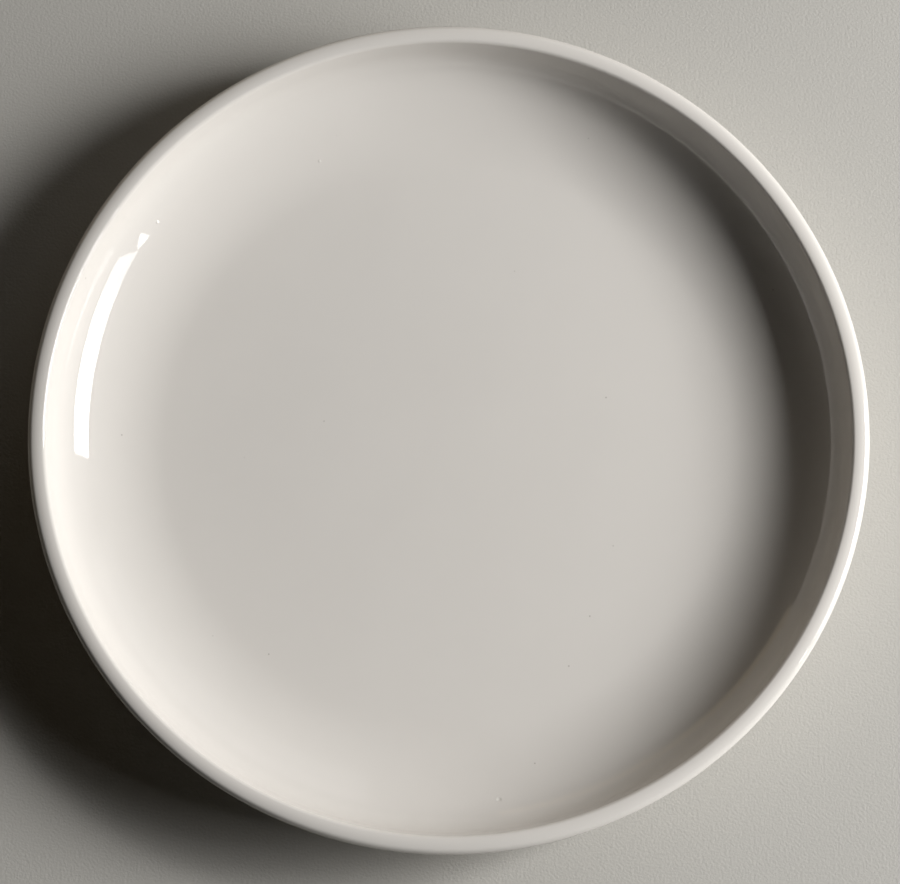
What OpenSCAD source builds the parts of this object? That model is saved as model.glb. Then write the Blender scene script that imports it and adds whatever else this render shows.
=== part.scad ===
// Salad plate: a coupe plate with an upright wall, a rounded lip and a dry foot ring.
// Every piece is a revolved section, and all the sections share one outline.

/* [Plate] */
// Outside diameter at the widest point of the wall
plate_d = 216; // [180:1:260]
// Height from the table to the crest of the lip
plate_h = 27.5; // [22.5:0.5:34]

/* [Lip] */
// Radius of the crown along the top of the lip
crown_r = 6; // [4:0.1:9]
// Turn of the crown from its crest down towards the well, in degrees
crown_in_turn = 9; // [4:0.5:20]
// Turn of the crown from its crest down towards the outside, in degrees
crown_out_turn = 14; // [6:0.5:25]
// Radius of the lip's inner edge
lip_in_r = 1.2; // [0.8:0.1:2]
// Radius of the lip's outer edge
lip_out_r = 1.8; // [1:0.1:3]

/* [Well] */
// Lean of the inside wall away from upright, in degrees
wall_lean = 15; // [4:0.5:25]
// Radius of the upper cove, below the wall
cove_wall_r = 13; // [8:0.5:18]
// Radius of the middle cove
cove_mid_r = 22; // [18:0.5:28]
// Radius of the lower cove, where it runs out onto the floor
cove_floor_r = 47; // [28:0.5:60]
// Slope at which the lower cove gives way to the middle one, in degrees
cove_low_slope = 24.5; // [15:0.5:30]
// Slope at which the middle cove gives way to the upper one, in degrees
cove_high_slope = 37.5; // [31:0.5:50]
// Thickness of the floor, glaze included
floor_t = 5.6; // [4:0.1:8]

/* [Underside] */
// Lean of the outside wall away from upright, in degrees
flank_lean = 4; // [2:0.5:15]
// Radius of the heel, between the outside wall and the underside
heel_r = 19; // [8:0.5:24]
// Rise of the underside from the foot ring to the heel, in degrees
under_rise = 3; // [0:0.5:6]
// Distance from the edge of the plate to the foot ring
foot_inset = 42; // [30:0.5:60]
// Width of the foot ring
foot_w = 6; // [4:0.1:10]
// Height of the foot ring on its outer side
foot_h = 3.2; // [2.6:0.1:5]
// Height of the recess inside the foot ring
recess_h = 2.8; // [2.3:0.1:4]
// Radius of the fillets at the root of the foot ring
foot_root_r = 1.2; // [0.6:0.1:1.5]
// Radius of the foot ring's lower edges
foot_edge_r = 0.5; // [0.2:0.1:0.7]

/* [Glaze] */
// Thickness of the glaze
glaze_t = 0.4; // [0.2:0.05:0.6]
// Height of the dry band left on the foot ring's sides
dry_h = 0.7; // [0.7:0.05:1]

/* [Hidden] */

// Degrees of turn for each step along a curve, the least turn drawn as one, and the steps round the plate
curve_step = 5;
least_turn = 0.01;
$fn = 180;

// Least straight length kept on the inside and outside walls
least_wall = 0.5;

glaze_colour = "#ECE7DF";
clay_colour = "#E3D9C8";

// The lip: its two edges each touch the crown
crest_r = plate_d / 2 - lip_out_r - (crown_r - lip_out_r) * sin(crown_out_turn);
crown_c = [crest_r, plate_h - crown_r];
lip_in_c = crown_c + (crown_r - lip_in_r) * [-sin(crown_in_turn), cos(crown_in_turn)];
lip_out_c = crown_c + (crown_r - lip_out_r) * [sin(crown_out_turn), cos(crown_out_turn)];

// The well: three coves, each touching the next, drawn smaller together where the wall is too low for them
floor_z = recess_h + floor_t;
wall_in = [-cos(wall_lean), sin(wall_lean)];
wall_top = lip_in_c + lip_in_r * wall_in;
cove_full_h = cove_floor_r * (1 - cos(cove_low_slope))
    + cove_mid_r * (cos(cove_low_slope) - cos(cove_high_slope))
    + cove_wall_r * (cos(cove_high_slope) - sin(wall_lean));
cove_scale = min(1, (wall_top.y - floor_z - least_wall) / cove_full_h);
cove_wall_fit = cove_wall_r * cove_scale;
cove_mid_fit = cove_mid_r * cove_scale;
cove_floor_fit = cove_floor_r * cove_scale;
wall_straight = (wall_top.y - floor_z - cove_full_h * cove_scale) / cos(wall_lean);
wall_foot = wall_top - wall_straight * [sin(wall_lean), cos(wall_lean)];
cove_wall_c = wall_foot + cove_wall_fit * wall_in;
cove_mid_c = cove_wall_c + (cove_mid_fit - cove_wall_fit) * [-sin(cove_high_slope), cos(cove_high_slope)];
cove_floor_c = cove_mid_c + (cove_floor_fit - cove_mid_fit) * [-sin(cove_low_slope), cos(cove_low_slope)];

// The foot ring
foot_out_r = plate_d / 2 - foot_inset;
foot_in_r = foot_out_r - foot_w;
root_out_r = foot_out_r + glaze_t + foot_root_r;
root_out_c = [root_out_r, under_z(root_out_r) - foot_root_r / cos(under_rise)];
root_in_c = [foot_in_r - glaze_t - foot_root_r, recess_h - foot_root_r];

// The heel: an arc that touches the outside wall and the underside, as large as the wall leaves room for
flank_in = [-cos(flank_lean), sin(flank_lean)];
flank_top = lip_out_c - lip_out_r * flank_in;
flank_down = [-sin(flank_lean), -cos(flank_lean)];
under_in = [-sin(under_rise), cos(under_rise)];
flank_height = (flank_top - [foot_out_r, foot_h]) * under_in;
heel_fit = min(heel_r, (flank_height - least_wall) / (1 - flank_in * under_in));
flank_straight = (heel_fit - flank_height - heel_fit * (flank_in * under_in)) / (flank_down * under_in);
heel_c = flank_top + heel_fit * flank_in + flank_straight * flank_down;

// Height of the underside at radius r, outside the foot ring
function under_z(r) = foot_h + (r - foot_out_r) * tan(under_rise);

// Turns from one angle to another in even steps, or the one angle where they are the same
function turns(from, to) =
    let (steps = ceil((abs(to - from) - least_turn) / curve_step))
    steps < 1 ? [from] : [for (i = [0:steps]) from + (to - from) * i / steps];

function arc(centre, r, from, to) = [for (a = turns(from, to)) centre + r * [cos(a), sin(a)]];

function reversed(points) = [for (i = [len(points) - 1:-1:0]) points[i]];

function without_last(points) = [for (i = [0:1:len(points) - 2]) points[i]];

// Outline at a depth under the finished surface, from the middle of the floor over the lip to the foot
function shell_line(depth) =
    concat(
        [[0, floor_z - depth]],
        without_last(arc(cove_floor_c, cove_floor_fit + depth, -90, cove_low_slope - 90)),
        without_last(arc(cove_mid_c, cove_mid_fit + depth, cove_low_slope - 90, cove_high_slope - 90)),
        arc(cove_wall_c, cove_wall_fit + depth, cove_high_slope - 90, -wall_lean),
        without_last(arc(lip_in_c, lip_in_r - depth, 180 - wall_lean, 90 + crown_in_turn)),
        without_last(arc(crown_c, crown_r - depth, 90 + crown_in_turn, 90 - crown_out_turn)),
        arc(lip_out_c, lip_out_r - depth, 90 - crown_out_turn, -flank_lean),
        arc(heel_c, heel_fit - depth, -flank_lean, under_rise - 90),
        arc(root_out_c, foot_root_r + depth, 90 + under_rise, 180)
    );

// Outline of the recess at a depth above its finished surface, from the foot ring to the middle
function recess_line(depth) =
    concat(arc(root_in_c, foot_root_r + depth, 0, 90), [[0, recess_h + depth]]);

// The two lower edges of the dry foot
function foot_line() =
    concat(
        arc([foot_out_r - foot_edge_r, foot_edge_r], foot_edge_r, 0, -90),
        arc([foot_in_r + foot_edge_r, foot_edge_r], foot_edge_r, -90, -180)
    );

// The fired clay, bare only on the foot ring
module clay_body() {
    color(clay_colour)
        rotate_extrude()
            polygon(concat(shell_line(glaze_t), foot_line(), recess_line(glaze_t)));
}

// The main glaze: over the eating face, the lip and the underside, feathered out on the foot ring
module glaze_coat() {
    feather = [[foot_out_r + glaze_t, dry_h + glaze_t], [foot_out_r, dry_h]];
    color(glaze_colour)
        rotate_extrude()
            polygon(concat(shell_line(0), feather, reversed(shell_line(glaze_t))));
}

// The glaze in the recess, cut off from the main glaze by the dry foot
module underside_glaze() {
    feather = [[foot_in_r, dry_h], [foot_in_r - glaze_t, dry_h + glaze_t]];
    color(glaze_colour)
        rotate_extrude()
            polygon(concat(feather, recess_line(0), reversed(recess_line(glaze_t))));
}

clay_body();
glaze_coat();
underside_glaze();
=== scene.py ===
from math import cos, radians, sin, tan

import bpy
import numpy as np
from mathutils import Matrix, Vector


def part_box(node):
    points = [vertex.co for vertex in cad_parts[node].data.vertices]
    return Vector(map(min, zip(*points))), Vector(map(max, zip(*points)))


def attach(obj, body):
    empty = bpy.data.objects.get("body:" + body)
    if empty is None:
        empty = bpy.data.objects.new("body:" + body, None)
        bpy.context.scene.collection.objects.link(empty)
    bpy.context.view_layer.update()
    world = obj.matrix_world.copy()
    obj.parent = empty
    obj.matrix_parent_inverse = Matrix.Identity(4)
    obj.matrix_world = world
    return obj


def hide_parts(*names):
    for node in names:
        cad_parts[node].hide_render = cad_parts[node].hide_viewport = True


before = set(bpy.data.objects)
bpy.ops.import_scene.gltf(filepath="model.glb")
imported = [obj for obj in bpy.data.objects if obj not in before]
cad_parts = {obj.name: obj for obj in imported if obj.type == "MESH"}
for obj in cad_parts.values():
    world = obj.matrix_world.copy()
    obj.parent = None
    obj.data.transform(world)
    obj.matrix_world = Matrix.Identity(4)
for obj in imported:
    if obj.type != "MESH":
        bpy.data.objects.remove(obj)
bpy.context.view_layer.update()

# The clay body: the whole plate under its glaze, one piece of pale stoneware pressed on a turning mould
# with its foot ring and fired hard. Only the foot's lower faces are bare. They were wiped before the
# glaze firing, so that the plate didn't stick to the kiln shelf, and they stay matt and gritty.
MM = 0.001
rim_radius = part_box("glaze_coat")[1].x / MM
plate_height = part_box("glaze_coat")[1].z / MM

# The section's sizes are in mm, and its tilts, leans and slopes in degrees.
crown_radius, crown_in_tilt, crown_out_tilt = 6.0, 9.0, 14.0
lip_in_radius, lip_out_radius = 1.2, 1.8
wall_lean = 15.0
cove_wall_radius, cove_middle_radius, cove_floor_radius = 13.0, 22.0, 47.0
cove_low_slope, cove_high_slope = 24.5, 37.5
floor_height = 8.4
flank_lean, heel_radius, under_rise = 4.0, 19.0, 3.0
foot_outer_radius, foot_inner_radius = 66.0, 60.0
foot_height, recess_height = 3.2, 2.8
foot_root_radius, foot_edge_radius = 1.2, 0.5
glaze_depth, dry_height = 0.4, 0.7


def leaning(lean):
    """Unit vector (r, z) that points up and leans outwards from upright by an angle in degrees."""
    return np.array([sin(radians(lean)), cos(radians(lean))])


def across(lean):
    """Unit vector (r, z) square to the one that leans by the same angle: away from the axis and down."""
    return np.array([cos(radians(lean)), -sin(radians(lean))])


# The lip is a low crown with a tighter corner on each side of it. The straight wall hangs from the inner
# corner, and three coves of growing radius run on from it to the floor, each one touching the next.
crest_radius = (rim_radius - lip_out_radius
                - (crown_radius - lip_out_radius) * sin(radians(crown_out_tilt)))
crown_centre = np.array([crest_radius, plate_height - crown_radius])
lip_in_centre = crown_centre + (crown_radius - lip_in_radius) * leaning(-crown_in_tilt)
lip_out_centre = crown_centre + (crown_radius - lip_out_radius) * leaning(crown_out_tilt)
wall_top = lip_in_centre - lip_in_radius * across(wall_lean)
cove_height = (cove_floor_radius * (1 - cos(radians(cove_low_slope)))
               + cove_middle_radius * (cos(radians(cove_low_slope)) - cos(radians(cove_high_slope)))
               + cove_wall_radius * (cos(radians(cove_high_slope)) - sin(radians(wall_lean))))
wall_straight = (wall_top[1] - floor_height - cove_height) / cos(radians(wall_lean))
wall_foot = wall_top - wall_straight * leaning(wall_lean)
cove_wall_centre = wall_foot - cove_wall_radius * across(wall_lean)
cove_middle_centre = (cove_wall_centre
                      - (cove_middle_radius - cove_wall_radius) * across(90 - cove_high_slope))
cove_floor_centre = (cove_middle_centre
                     - (cove_floor_radius - cove_middle_radius) * across(90 - cove_low_slope))

# The outer wall hangs from the lip's outer corner, and the underside rises slightly from the foot ring.
# The heel's circle touches both.
flank_top = lip_out_centre + lip_out_radius * across(flank_lean)
under_up = leaning(-under_rise)
heel_start = flank_top - heel_radius * across(flank_lean)
heel_drop = (heel_start - np.array([foot_outer_radius, foot_height])) @ under_up - heel_radius
heel_centre = heel_start - leaning(flank_lean) * heel_drop / (leaning(flank_lean) @ under_up)
root_outer_radius = foot_outer_radius + glaze_depth + foot_root_radius
root_outer_height = (foot_height + (root_outer_radius - foot_outer_radius) * tan(radians(under_rise))
                     - foot_root_radius / cos(radians(under_rise)))
root_outer_centre = np.array([root_outer_radius, root_outer_height])
root_inner_centre = np.array([foot_inner_radius - glaze_depth - foot_root_radius,
                              recess_height - foot_root_radius])

# Tight curves are drawn finer than the rest, and flat stretches coarser.
CORNER_FINER, CROWN_FINER, ROOT_FINER = 6, 4, 4
FLOOR_COARSER, UNDERSIDE_COARSER, STANDING_COARSER = 3, 2, 4


def arc(centre, radius, start, stop, spacing):
    """Points along a circle: the centre plus the radius times the cosine and sine of a turn that runs
    evenly from start to stop, in degrees, with about the spacing given in mm."""
    count = 2 + int(abs(radians(stop - start)) * radius / spacing)
    turn = np.radians(np.linspace(start, stop, count))
    return centre + radius * np.column_stack([np.cos(turn), np.sin(turn)])


def straight(start, stop, spacing):
    """Points along a straight line at about the spacing given in mm, with the first and not the last."""
    start, stop = np.array(start, float), np.array(stop, float)
    count = 1 + int(np.linalg.norm(stop - start) / spacing)
    return start + (stop - start) * np.linspace(0, 1, count, endpoint=False)[:, None]


def shell_outline(depth, spacing):
    """Outline (r, z) of the plate at a depth under its finished face, from the middle of the floor over
    the lip to the outer side of the foot: each arc keeps its centre, and its radius grows or shrinks by
    the depth."""
    cove_low, cove_high = cove_low_slope - 90, cove_high_slope - 90
    crown_in, crown_out = 90 + crown_in_tilt, 90 - crown_out_tilt
    corner_spacing = spacing / CORNER_FINER
    floor_cove = arc(cove_floor_centre, cove_floor_radius + depth, -90, cove_low, spacing)
    middle_cove = arc(cove_middle_centre, cove_middle_radius + depth, cove_low, cove_high, spacing)
    wall_cove = arc(cove_wall_centre, cove_wall_radius + depth, cove_high, -wall_lean, spacing)
    lip_in = arc(lip_in_centre, lip_in_radius - depth, 180 - wall_lean, crown_in, corner_spacing)
    crown = arc(crown_centre, crown_radius - depth, crown_in, crown_out, spacing / CROWN_FINER)
    lip_out = arc(lip_out_centre, lip_out_radius - depth, crown_out, -flank_lean, corner_spacing)
    heel = arc(heel_centre, heel_radius - depth, -flank_lean, under_rise - 90, spacing)
    root = arc(root_outer_centre, foot_root_radius + depth, 90 + under_rise, 180, spacing / ROOT_FINER)
    return np.vstack([
        straight([0, floor_height - depth], floor_cove[0], spacing * FLOOR_COARSER),
        floor_cove[:-1], middle_cove[:-1], wall_cove[:-1],
        straight(wall_cove[-1], lip_in[0], spacing),
        lip_in[:-1], crown[:-1], lip_out[:-1],
        straight(lip_out[-1], heel[0], spacing),
        heel[:-1],
        straight(heel[-1], root[0], spacing * UNDERSIDE_COARSER),
        root,
    ])


def recess_outline(depth, spacing):
    """Outline (r, z) of the recess under the floor at a depth above its finished face, from the foot's
    inner side to the axis: a quarter circle at the foot's root, then the flat ceiling."""
    root = arc(root_inner_centre, foot_root_radius + depth, 0, 90, spacing / ROOT_FINER)
    middle = [0, recess_height + depth]
    return np.vstack([root[:-1], straight(root[-1], middle, spacing * FLOOR_COARSER), [middle]])


def foot_outline(spacing):
    """Outline (r, z) of the bare foot: two quarter circles at its lower edges, and between them the flat
    that the plate stands on."""
    outer_centre = np.array([foot_outer_radius - foot_edge_radius, foot_edge_radius])
    inner_centre = np.array([foot_inner_radius + foot_edge_radius, foot_edge_radius])
    outer = arc(outer_centre, foot_edge_radius, 0, -90, spacing)
    inner = arc(inner_centre, foot_edge_radius, -90, -180, spacing)
    return np.vstack([outer[:-1], straight(outer[-1], inner[0], spacing * STANDING_COARSER), inner])


TURNS = 360
CREASE = radians(40)


def carried_round(section):
    """Each (r, z) of a section between two ends on the axis goes to (r cos t, r sin t, z) at even turns t,
    ring by ring, and the two ends follow as one point each."""
    turn = np.linspace(0, 2 * np.pi, TURNS, endpoint=False)
    rings = np.empty((len(section) - 2, TURNS, 3))
    rings[..., :2] = section[1:-1, None, :1] * np.column_stack([np.cos(turn), np.sin(turn)])
    rings[..., 2] = section[1:-1, None, 1]
    ends = np.zeros((2, 3))
    ends[:, 2] = section[[0, -1], 1]
    return np.vstack([rings.reshape(-1, 3), ends])


def turned_piece(name, outline, relief=None, relief_rows=0):
    """A piece turned round the plate's axis from an outline that starts and ends on it. The first rows of
    the outline are moved along its normal by the relief at each point, in mm. Neighbouring rings are
    joined by four-sided faces, and a fan of triangles closes each end."""
    points = carried_round(outline)
    if relief:
        slope = np.gradient(outline, axis=0)
        normal = np.column_stack([-slope[:, 1], slope[:, 0]]) / np.linalg.norm(slope, axis=1)[:, None]
        normal[relief_rows:] = 0
        points = points + carried_round(normal) * relief(points)[:, None]

    ring_count = len(outline) - 2
    here = np.arange(ring_count * TURNS).reshape(ring_count, TURNS)
    beside = np.roll(here, -1, axis=1)
    quads = np.stack([here[:-1], here[1:], beside[1:], beside[:-1]], axis=2).reshape(-1, 4)
    first_end, last_end = np.full(TURNS, here.size), np.full(TURNS, here.size + 1)
    fans = np.vstack([np.column_stack([first_end, here[0], beside[0]]),
                      np.column_stack([last_end, beside[-1], here[-1]])])

    mesh = bpy.data.meshes.new(name)
    mesh.from_pydata((points * MM).tolist(), [], quads.tolist() + fans.tolist())
    mesh.shade_smooth()
    mesh.set_sharp_from_angle(angle=CREASE)
    piece = bpy.data.objects.new(name, mesh)
    bpy.context.scene.collection.objects.link(piece)
    return piece


def linear(hex_colour):
    """An sRGB hex colour as linear red, green, blue and an alpha of 1."""
    srgb = np.array([int(hex_colour[i:i + 2], 16) for i in (1, 3, 5)]) / 255
    light = np.where(srgb <= 0.04045, srgb / 12.92, ((srgb + 0.055) / 1.055) ** 2.4)
    return (*light.tolist(), 1.0)


def add_node(material, kind, inputs=None, **settings):
    """Add a node of a kind to a material, set its properties, and give each named or numbered input a
    value or, where the value is another node's output, a link."""
    node = material.node_tree.nodes.new(kind)
    for name, value in settings.items():
        setattr(node, name, value)
    for name, value in (inputs or {}).items():
        if isinstance(value, bpy.types.NodeSocket):
            material.node_tree.links.new(value, node.inputs[name])
        else:
            node.inputs[name].default_value = value
    return node


# Numbers of a colour mix node's inputs and output, whose names also stand for its number and vector sockets
MIX_FACTOR, MIX_FIRST, MIX_SECOND, MIX_COLOUR = 0, 6, 7, 2

# Unglazed stoneware: fired to a matt stone with sand in it, so it scatters light evenly and shows a fine
# dark grit. A grain of grit is solid and then fades within a share of the spacing between grains.
stoneware = bpy.data.materials.new("dry_fired_stoneware")
stoneware.use_nodes = True
stoneware.node_tree.nodes.clear()
SAND_MM, SAND_HEIGHT_MM, CLOUD_MM = 0.5, 0.08, 9.0
GRIT_MM, GRIT_SOLID_SHARE, GRIT_FADE_SHARE, GRIT_STRENGTH = 1.6, 0.08, 0.16, 0.55
clay_place = add_node(stoneware, "ShaderNodeTexCoord").outputs["Object"]
sand = add_node(stoneware, "ShaderNodeTexNoise",
                {"Vector": clay_place, "Scale": 1 / (SAND_MM * MM), "Detail": 3.0, "Roughness": 0.6})
cloud = add_node(stoneware, "ShaderNodeTexNoise",
                 {"Vector": clay_place, "Scale": 1 / (CLOUD_MM * MM), "Detail": 2.0})
grit = add_node(stoneware, "ShaderNodeTexVoronoi", {"Vector": clay_place, "Scale": 1 / (GRIT_MM * MM)})
grit_mask = add_node(stoneware, "ShaderNodeMapRange",
                     {"Value": grit.outputs["Distance"],
                      "From Min": GRIT_SOLID_SHARE, "From Max": GRIT_FADE_SHARE,
                      "To Min": GRIT_STRENGTH, "To Max": 0.0})
clouded = add_node(stoneware, "ShaderNodeMix",
                   {MIX_FACTOR: cloud.outputs["Fac"],
                    MIX_FIRST: linear("#E6DCCB"), MIX_SECOND: linear("#D8CBB6")},
                   data_type="RGBA").outputs[MIX_COLOUR]
gritty = add_node(stoneware, "ShaderNodeMix",
                  {MIX_FACTOR: grit_mask.outputs["Result"],
                   MIX_FIRST: clouded, MIX_SECOND: linear("#8A7762")},
                  data_type="RGBA").outputs[MIX_COLOUR]
sand_relief = add_node(stoneware, "ShaderNodeBump",
                       {"Height": sand.outputs["Fac"], "Strength": 0.6, "Distance": SAND_HEIGHT_MM * MM})
bare_clay = add_node(stoneware, "ShaderNodeBsdfPrincipled",
                     {"Base Color": gritty, "Roughness": 0.85, "IOR": 1.5,
                      "Normal": sand_relief.outputs["Normal"]})
add_node(stoneware, "ShaderNodeOutputMaterial", {"Surface": bare_clay.outputs["BSDF"]})

HIDDEN_STEP_MM, FOOT_STEP_MM = 2.0, 0.15
clay_body = turned_piece("clay_body_fired", np.vstack([
    shell_outline(glaze_depth, HIDDEN_STEP_MM),
    foot_outline(FOOT_STEP_MM),
    recess_outline(glaze_depth, HIDDEN_STEP_MM),
]))
clay_body.data.materials.append(stoneware)
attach(clay_body, "root")
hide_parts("clay_body")

# The main glaze: a skin of gloss glaze 0.4 mm thick, poured over the eating face, the lip, the outer wall
# and the underside and melted on in the kiln. It stops in a thin feathered edge on the outer side of the
# foot, above the wiped band. It flowed a little as it melted, so its gloss isn't quite flat.
VISIBLE_STEP_MM = 0.8
FLOW_SEED, FLOW_WAVES = 11, 40
FLOW_SHORTEST_MM, FLOW_LONGEST_MM, FLOW_HEIGHT_MM = 9.0, 34.0, 0.006


def glaze_flow(points):
    """Relief of the melted glaze, in mm and never above the finished face: a sum of sine waves in
    directions and phases drawn once from a seed. Their lengths are spread evenly between the shortest and
    the longest, and their heights are in proportion to their lengths."""
    draw = np.random.default_rng(FLOW_SEED)
    heading = draw.normal(size=(FLOW_WAVES, 3))
    heading /= np.linalg.norm(heading, axis=1)[:, None]
    wavelength = np.linspace(FLOW_SHORTEST_MM, FLOW_LONGEST_MM, FLOW_WAVES)
    phase = draw.uniform(0, 2 * np.pi, FLOW_WAVES)
    waves = np.sin(points @ (2 * np.pi * heading / wavelength[:, None]).T + phase)
    share = wavelength / FLOW_LONGEST_MM
    flow = waves @ share / np.linalg.norm(share)
    return FLOW_HEIGHT_MM * (flow - flow.max())


# Gloss glaze: glass with a little opacifier in it over a pale body, so it is warm white with a clear
# mirror on top, faintly mottled and rippled. Iron in the clay shows through as a few faint specks, and the
# melt left two pimples and a dent in the eating face.
gloss_glaze = bpy.data.materials.new("warm_white_gloss_glaze")
gloss_glaze.use_nodes = True
gloss_glaze.node_tree.nodes.clear()
MOTTLE_MM, MOTTLE_LOW, MOTTLE_HIGH = 22.0, 0.3, 0.7
GLOSSIEST_ROUGHNESS, DULLEST_ROUGHNESS = 0.03, 0.05
IRON_MM, IRON_SOLID_SHARE, IRON_FADE_SHARE, IRON_STRENGTH = 14.0, 0.008, 0.024, 0.3
SPECK_RADIUS_MM, SPECK_STRENGTH = 0.32, 0.55
specks_mm = [(41.1, 12.6, 8.4), (-46.5, -54.9, 8.4), (22.1, -83.3, 10.1), (36.5, -45.0, 8.4),
             (31.0, -58.0, 8.4), (-85.2, 2.4, 9.8)]
PEEL_MM, PEEL_HEIGHT_MM = 3.0, 0.003
PIMPLE_RADIUS_MM, PIMPLE_HEIGHT_MM = 0.55, 0.09
DENT_RADIUS_MM, DENT_DEPTH_MM = 0.8, 0.1
pimples_mm = [(-34.1, 75.9, 9.4), (-76.3, 58.2, 14.15)]
dent_mm = (12.9, -92.8, 12.9)
glaze_place = add_node(gloss_glaze, "ShaderNodeTexCoord").outputs["Object"]


def spot(centre_mm, radius_mm, height):
    """A height in the middle of a round spot in the glaze that falls smoothly to nothing at its radius."""
    distance = add_node(gloss_glaze, "ShaderNodeVectorMath",
                        {0: glaze_place, 1: [coordinate * MM for coordinate in centre_mm]},
                        operation="DISTANCE").outputs["Value"]
    return add_node(gloss_glaze, "ShaderNodeMapRange",
                    {"Value": distance, "From Min": 0.0, "From Max": radius_mm * MM,
                     "To Min": height, "To Max": 0.0},
                    interpolation_type="SMOOTHSTEP").outputs["Result"]


mottle = add_node(gloss_glaze, "ShaderNodeTexNoise",
                  {"Vector": glaze_place, "Scale": 1 / (MOTTLE_MM * MM), "Detail": 3.0, "Roughness": 0.55})
mottled = add_node(gloss_glaze, "ShaderNodeMix",
                   {MIX_FACTOR: mottle.outputs["Fac"],
                    MIX_FIRST: linear("#ECE8E2"), MIX_SECOND: linear("#E8E4DE")},
                   data_type="RGBA").outputs[MIX_COLOUR]
sheen = add_node(gloss_glaze, "ShaderNodeMapRange",
                 {"Value": mottle.outputs["Fac"], "From Min": MOTTLE_LOW, "From Max": MOTTLE_HIGH,
                  "To Min": GLOSSIEST_ROUGHNESS, "To Max": DULLEST_ROUGHNESS})

iron = add_node(gloss_glaze, "ShaderNodeTexVoronoi", {"Vector": glaze_place, "Scale": 1 / (IRON_MM * MM)})
speck_mask = add_node(gloss_glaze, "ShaderNodeMapRange",
                      {"Value": iron.outputs["Distance"],
                       "From Min": IRON_SOLID_SHARE, "From Max": IRON_FADE_SHARE,
                       "To Min": IRON_STRENGTH, "To Max": 0.0}).outputs["Result"]
for speck in specks_mm:
    speck_mask = add_node(gloss_glaze, "ShaderNodeMath",
                          {0: speck_mask, 1: spot(speck, SPECK_RADIUS_MM, SPECK_STRENGTH)},
                          operation="ADD").outputs["Value"]
specked = add_node(gloss_glaze, "ShaderNodeMix",
                   {MIX_FACTOR: speck_mask, MIX_FIRST: mottled, MIX_SECOND: linear("#6E6355")},
                   data_type="RGBA").outputs[MIX_COLOUR]

peel = add_node(gloss_glaze, "ShaderNodeTexNoise",
                {"Vector": glaze_place, "Scale": 1 / (PEEL_MM * MM), "Detail": 1.0})
glaze_height = add_node(gloss_glaze, "ShaderNodeMath", {0: peel.outputs["Fac"], 1: PEEL_HEIGHT_MM},
                        operation="MULTIPLY").outputs["Value"]
marks = [spot(pimple, PIMPLE_RADIUS_MM, PIMPLE_HEIGHT_MM) for pimple in pimples_mm]
marks.append(spot(dent_mm, DENT_RADIUS_MM, -DENT_DEPTH_MM))
for mark in marks:
    glaze_height = add_node(gloss_glaze, "ShaderNodeMath", {0: glaze_height, 1: mark},
                            operation="ADD").outputs["Value"]
glaze_relief = add_node(gloss_glaze, "ShaderNodeBump",
                        {"Height": glaze_height, "Strength": 1.0, "Distance": MM})
glass = add_node(gloss_glaze, "ShaderNodeBsdfPrincipled",
                 {"Base Color": specked, "Roughness": sheen.outputs["Result"], "IOR": 1.5,
                  "Normal": glaze_relief.outputs["Normal"]})
add_node(gloss_glaze, "ShaderNodeOutputMaterial", {"Surface": glass.outputs["BSDF"]})

finished_face = shell_outline(0, VISIBLE_STEP_MM)
outer_feather = [[foot_outer_radius + glaze_depth, dry_height + glaze_depth],
                 [foot_outer_radius, dry_height]]
clay_side = shell_outline(glaze_depth, HIDDEN_STEP_MM)[::-1]
glaze_coat = turned_piece("glaze_coat_gloss", np.vstack([finished_face, outer_feather, clay_side]),
                          glaze_flow, len(finished_face))
glaze_coat.data.materials.append(gloss_glaze)
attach(glaze_coat, "root")
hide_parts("glaze_coat")

# The underside glaze: the same glaze in the recess inside the foot ring, cut off from the main coat by the
# wiped foot. It was poured in and swirled by hand before the firing, so it is a plain even skin there.
inner_feather = [[foot_inner_radius, dry_height],
                 [foot_inner_radius - glaze_depth, dry_height + glaze_depth]]
underside_glaze = turned_piece("underside_glaze_gloss", np.vstack([
    recess_outline(glaze_depth, HIDDEN_STEP_MM)[::-1],
    inner_feather,
    recess_outline(0, VISIBLE_STEP_MM),
]))
underside_glaze.data.materials.append(gloss_glaze)
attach(underside_glaze, "root")
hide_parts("underside_glaze")

# The table: a plain pale matt top that the plate stands on. It isn't part of the object.
TABLE_HALF_WIDTH = 3.0
table_mesh = bpy.data.meshes.new("table_top")
table_corners = TABLE_HALF_WIDTH * np.array([[-1, -1, 0], [1, -1, 0], [1, 1, 0], [-1, 1, 0]])
table_mesh.from_pydata(table_corners.tolist(), [], [(0, 1, 2, 3)])
table = bpy.data.objects.new("table_top", table_mesh)
bpy.context.scene.collection.objects.link(table)

# Matt paint: laid on with a roller, so it has a fine grain and scatters light almost evenly.
painted_top = bpy.data.materials.new("pale_matt_paint")
painted_top.use_nodes = True
painted_top.node_tree.nodes.clear()
GRAIN_MM, GRAIN_HEIGHT_MM = 0.7, 0.09
table_place = add_node(painted_top, "ShaderNodeTexCoord").outputs["Object"]
grain = add_node(painted_top, "ShaderNodeTexNoise",
                 {"Vector": table_place, "Scale": 1 / (GRAIN_MM * MM), "Detail": 1.0})
grained = add_node(painted_top, "ShaderNodeMix",
                   {MIX_FACTOR: grain.outputs["Fac"],
                    MIX_FIRST: linear("#C0BEB8"), MIX_SECOND: linear("#C6C4BE")},
                   data_type="RGBA").outputs[MIX_COLOUR]
grain_relief = add_node(painted_top, "ShaderNodeBump",
                        {"Height": grain.outputs["Fac"], "Strength": 1.0, "Distance": GRAIN_HEIGHT_MM * MM})
matt_paint = add_node(painted_top, "ShaderNodeBsdfPrincipled",
                      {"Base Color": grained, "Roughness": 0.6, "Normal": grain_relief.outputs["Normal"]})
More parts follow.
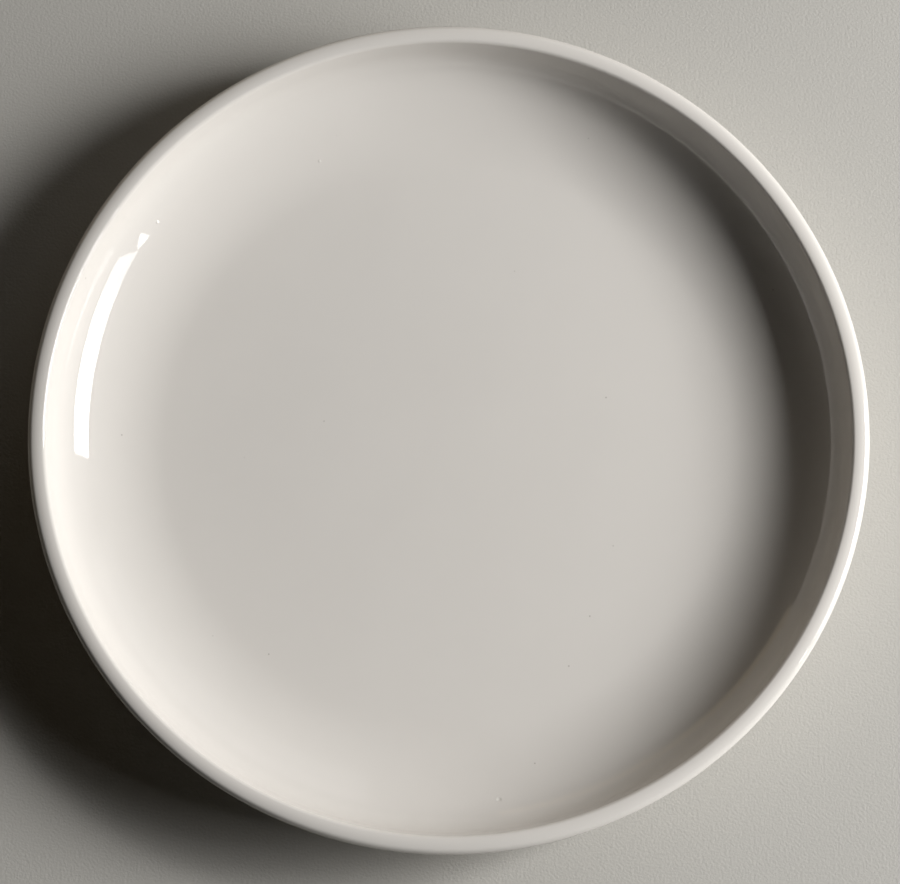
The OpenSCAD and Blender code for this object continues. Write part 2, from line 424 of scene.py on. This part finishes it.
add_node(painted_top, "ShaderNodeOutputMaterial", {"Surface": matt_paint.outputs["BSDF"]})
table_mesh.materials.append(painted_top)

# The light: one soft panel to the right in four bays that grow brighter towards the far side, with a small
# piece of it beyond a gap, as a window gives. The room is dim and warm. A low wall at the far left gives
# back a little warm light, and a high one at the far right a little daylight.
LIGHT_DISTANCE, LIGHT_RISE = 1.2, 37.3
light_out = Vector((cos(radians(LIGHT_RISE)), 0, sin(radians(LIGHT_RISE))))
light_up = Vector((-sin(radians(LIGHT_RISE)), 0, cos(radians(LIGHT_RISE))))
light_side = Vector((0, 1, 0))
DAYLIGHT, ROOM_LIGHT = linear("#FFFEFD"), linear("#FFE4BC")


def on_light(side_mm, up_mm):
    """A place in the light's plane, which is square to the light's direction: so far sideways, towards the
    far side, and so far up from the point straight along that direction."""
    return light_out * LIGHT_DISTANCE + (light_side * side_mm + light_up * up_mm) * MM


def upright(left, right, low, high):
    """Corners of an upright wall between two places (x, y) and two heights, in metres."""
    return [(*left, low), (*right, low), (*right, high), (*left, high)]


def glowing_panel(name, corners, colour, radiance):
    """A four-sided panel that glows evenly. It lights the plate and shows in its gloss, but not in the
    picture itself."""
    mesh = bpy.data.meshes.new(name)
    mesh.from_pydata([list(corner) for corner in corners], [], [(0, 1, 2, 3)])
    diffuser = bpy.data.materials.new(name)
    diffuser.use_nodes = True
    diffuser.node_tree.nodes.clear()
    glow = add_node(diffuser, "ShaderNodeEmission", {"Color": colour, "Strength": radiance})
    add_node(diffuser, "ShaderNodeOutputMaterial", {"Surface": glow.outputs["Emission"]})
    mesh.materials.append(diffuser)
    panel = bpy.data.objects.new(name, mesh)
    panel.visible_camera = False
    bpy.context.scene.collection.objects.link(panel)


# The panel's corners and its small piece's, in mm sideways and up, and the bays' radiance from near to far
near_low, near_high = np.array([-466, -551]), np.array([-334, 76])
far_low, far_high = np.array([266, -246]), np.array([265, 212])
side_piece = [(-346, 45), (-376, 137), (-485, -188), (-443, -118)]
bay_radiance = [6.6, 12.3, 20.7, 30.7]
bay_ends = np.linspace(0, 1, len(bay_radiance) + 1)[:, None]
low_edge = near_low + (far_low - near_low) * bay_ends
high_edge = near_high + (far_high - near_high) * bay_ends
for bay, radiance in enumerate(bay_radiance):
    bay_corners = [low_edge[bay], low_edge[bay + 1], high_edge[bay + 1], high_edge[bay]]
    glowing_panel(f"panel_bay_{bay + 1}", [on_light(*corner) for corner in bay_corners], DAYLIGHT, radiance)
glowing_panel("panel_side_piece", [on_light(*corner) for corner in side_piece], DAYLIGHT, radiance=14.0)

far_wall = upright(left=(-1.59, 1.16), right=(-0.21, 1.96), low=0.1, high=0.55)
glowing_panel("far_wall", far_wall, ROOM_LIGHT, radiance=0.85)
side_wall = upright(left=(0.26, 1.48), right=(1.3, 0.75), low=0.5, high=1.7)
glowing_panel("side_wall", side_wall, DAYLIGHT, radiance=0.4)

ROOM_RADIANCE = 0.001
room = bpy.data.worlds.new("dim_room")
room.use_nodes = True
room.node_tree.nodes["Background"].inputs["Color"].default_value = ROOM_LIGHT
room.node_tree.nodes["Background"].inputs["Strength"].default_value = ROOM_RADIANCE
bpy.context.scene.world = room
bpy.context.scene.view_settings.view_transform = "Standard"

# The camera: almost straight above, tilted a little towards the near side. Its rise is in degrees, its
# distance in metres and its lens in mm.
CAMERA_RISE, CAMERA_DISTANCE, CAMERA_LENS = 79.8, 1.0315, 160.0
camera_data = bpy.data.cameras.new("camera")
camera_data.lens = CAMERA_LENS
camera = bpy.data.objects.new("camera", camera_data)
aim = Vector((0.00032, -0.0013, 0.02))
away = Vector((0, -cos(radians(CAMERA_RISE)), sin(radians(CAMERA_RISE))))
camera.location = aim + away * CAMERA_DISTANCE
camera.rotation_euler = away.to_track_quat("Z", "Y").to_euler()
bpy.context.scene.collection.objects.link(camera)
bpy.context.scene.camera = camera
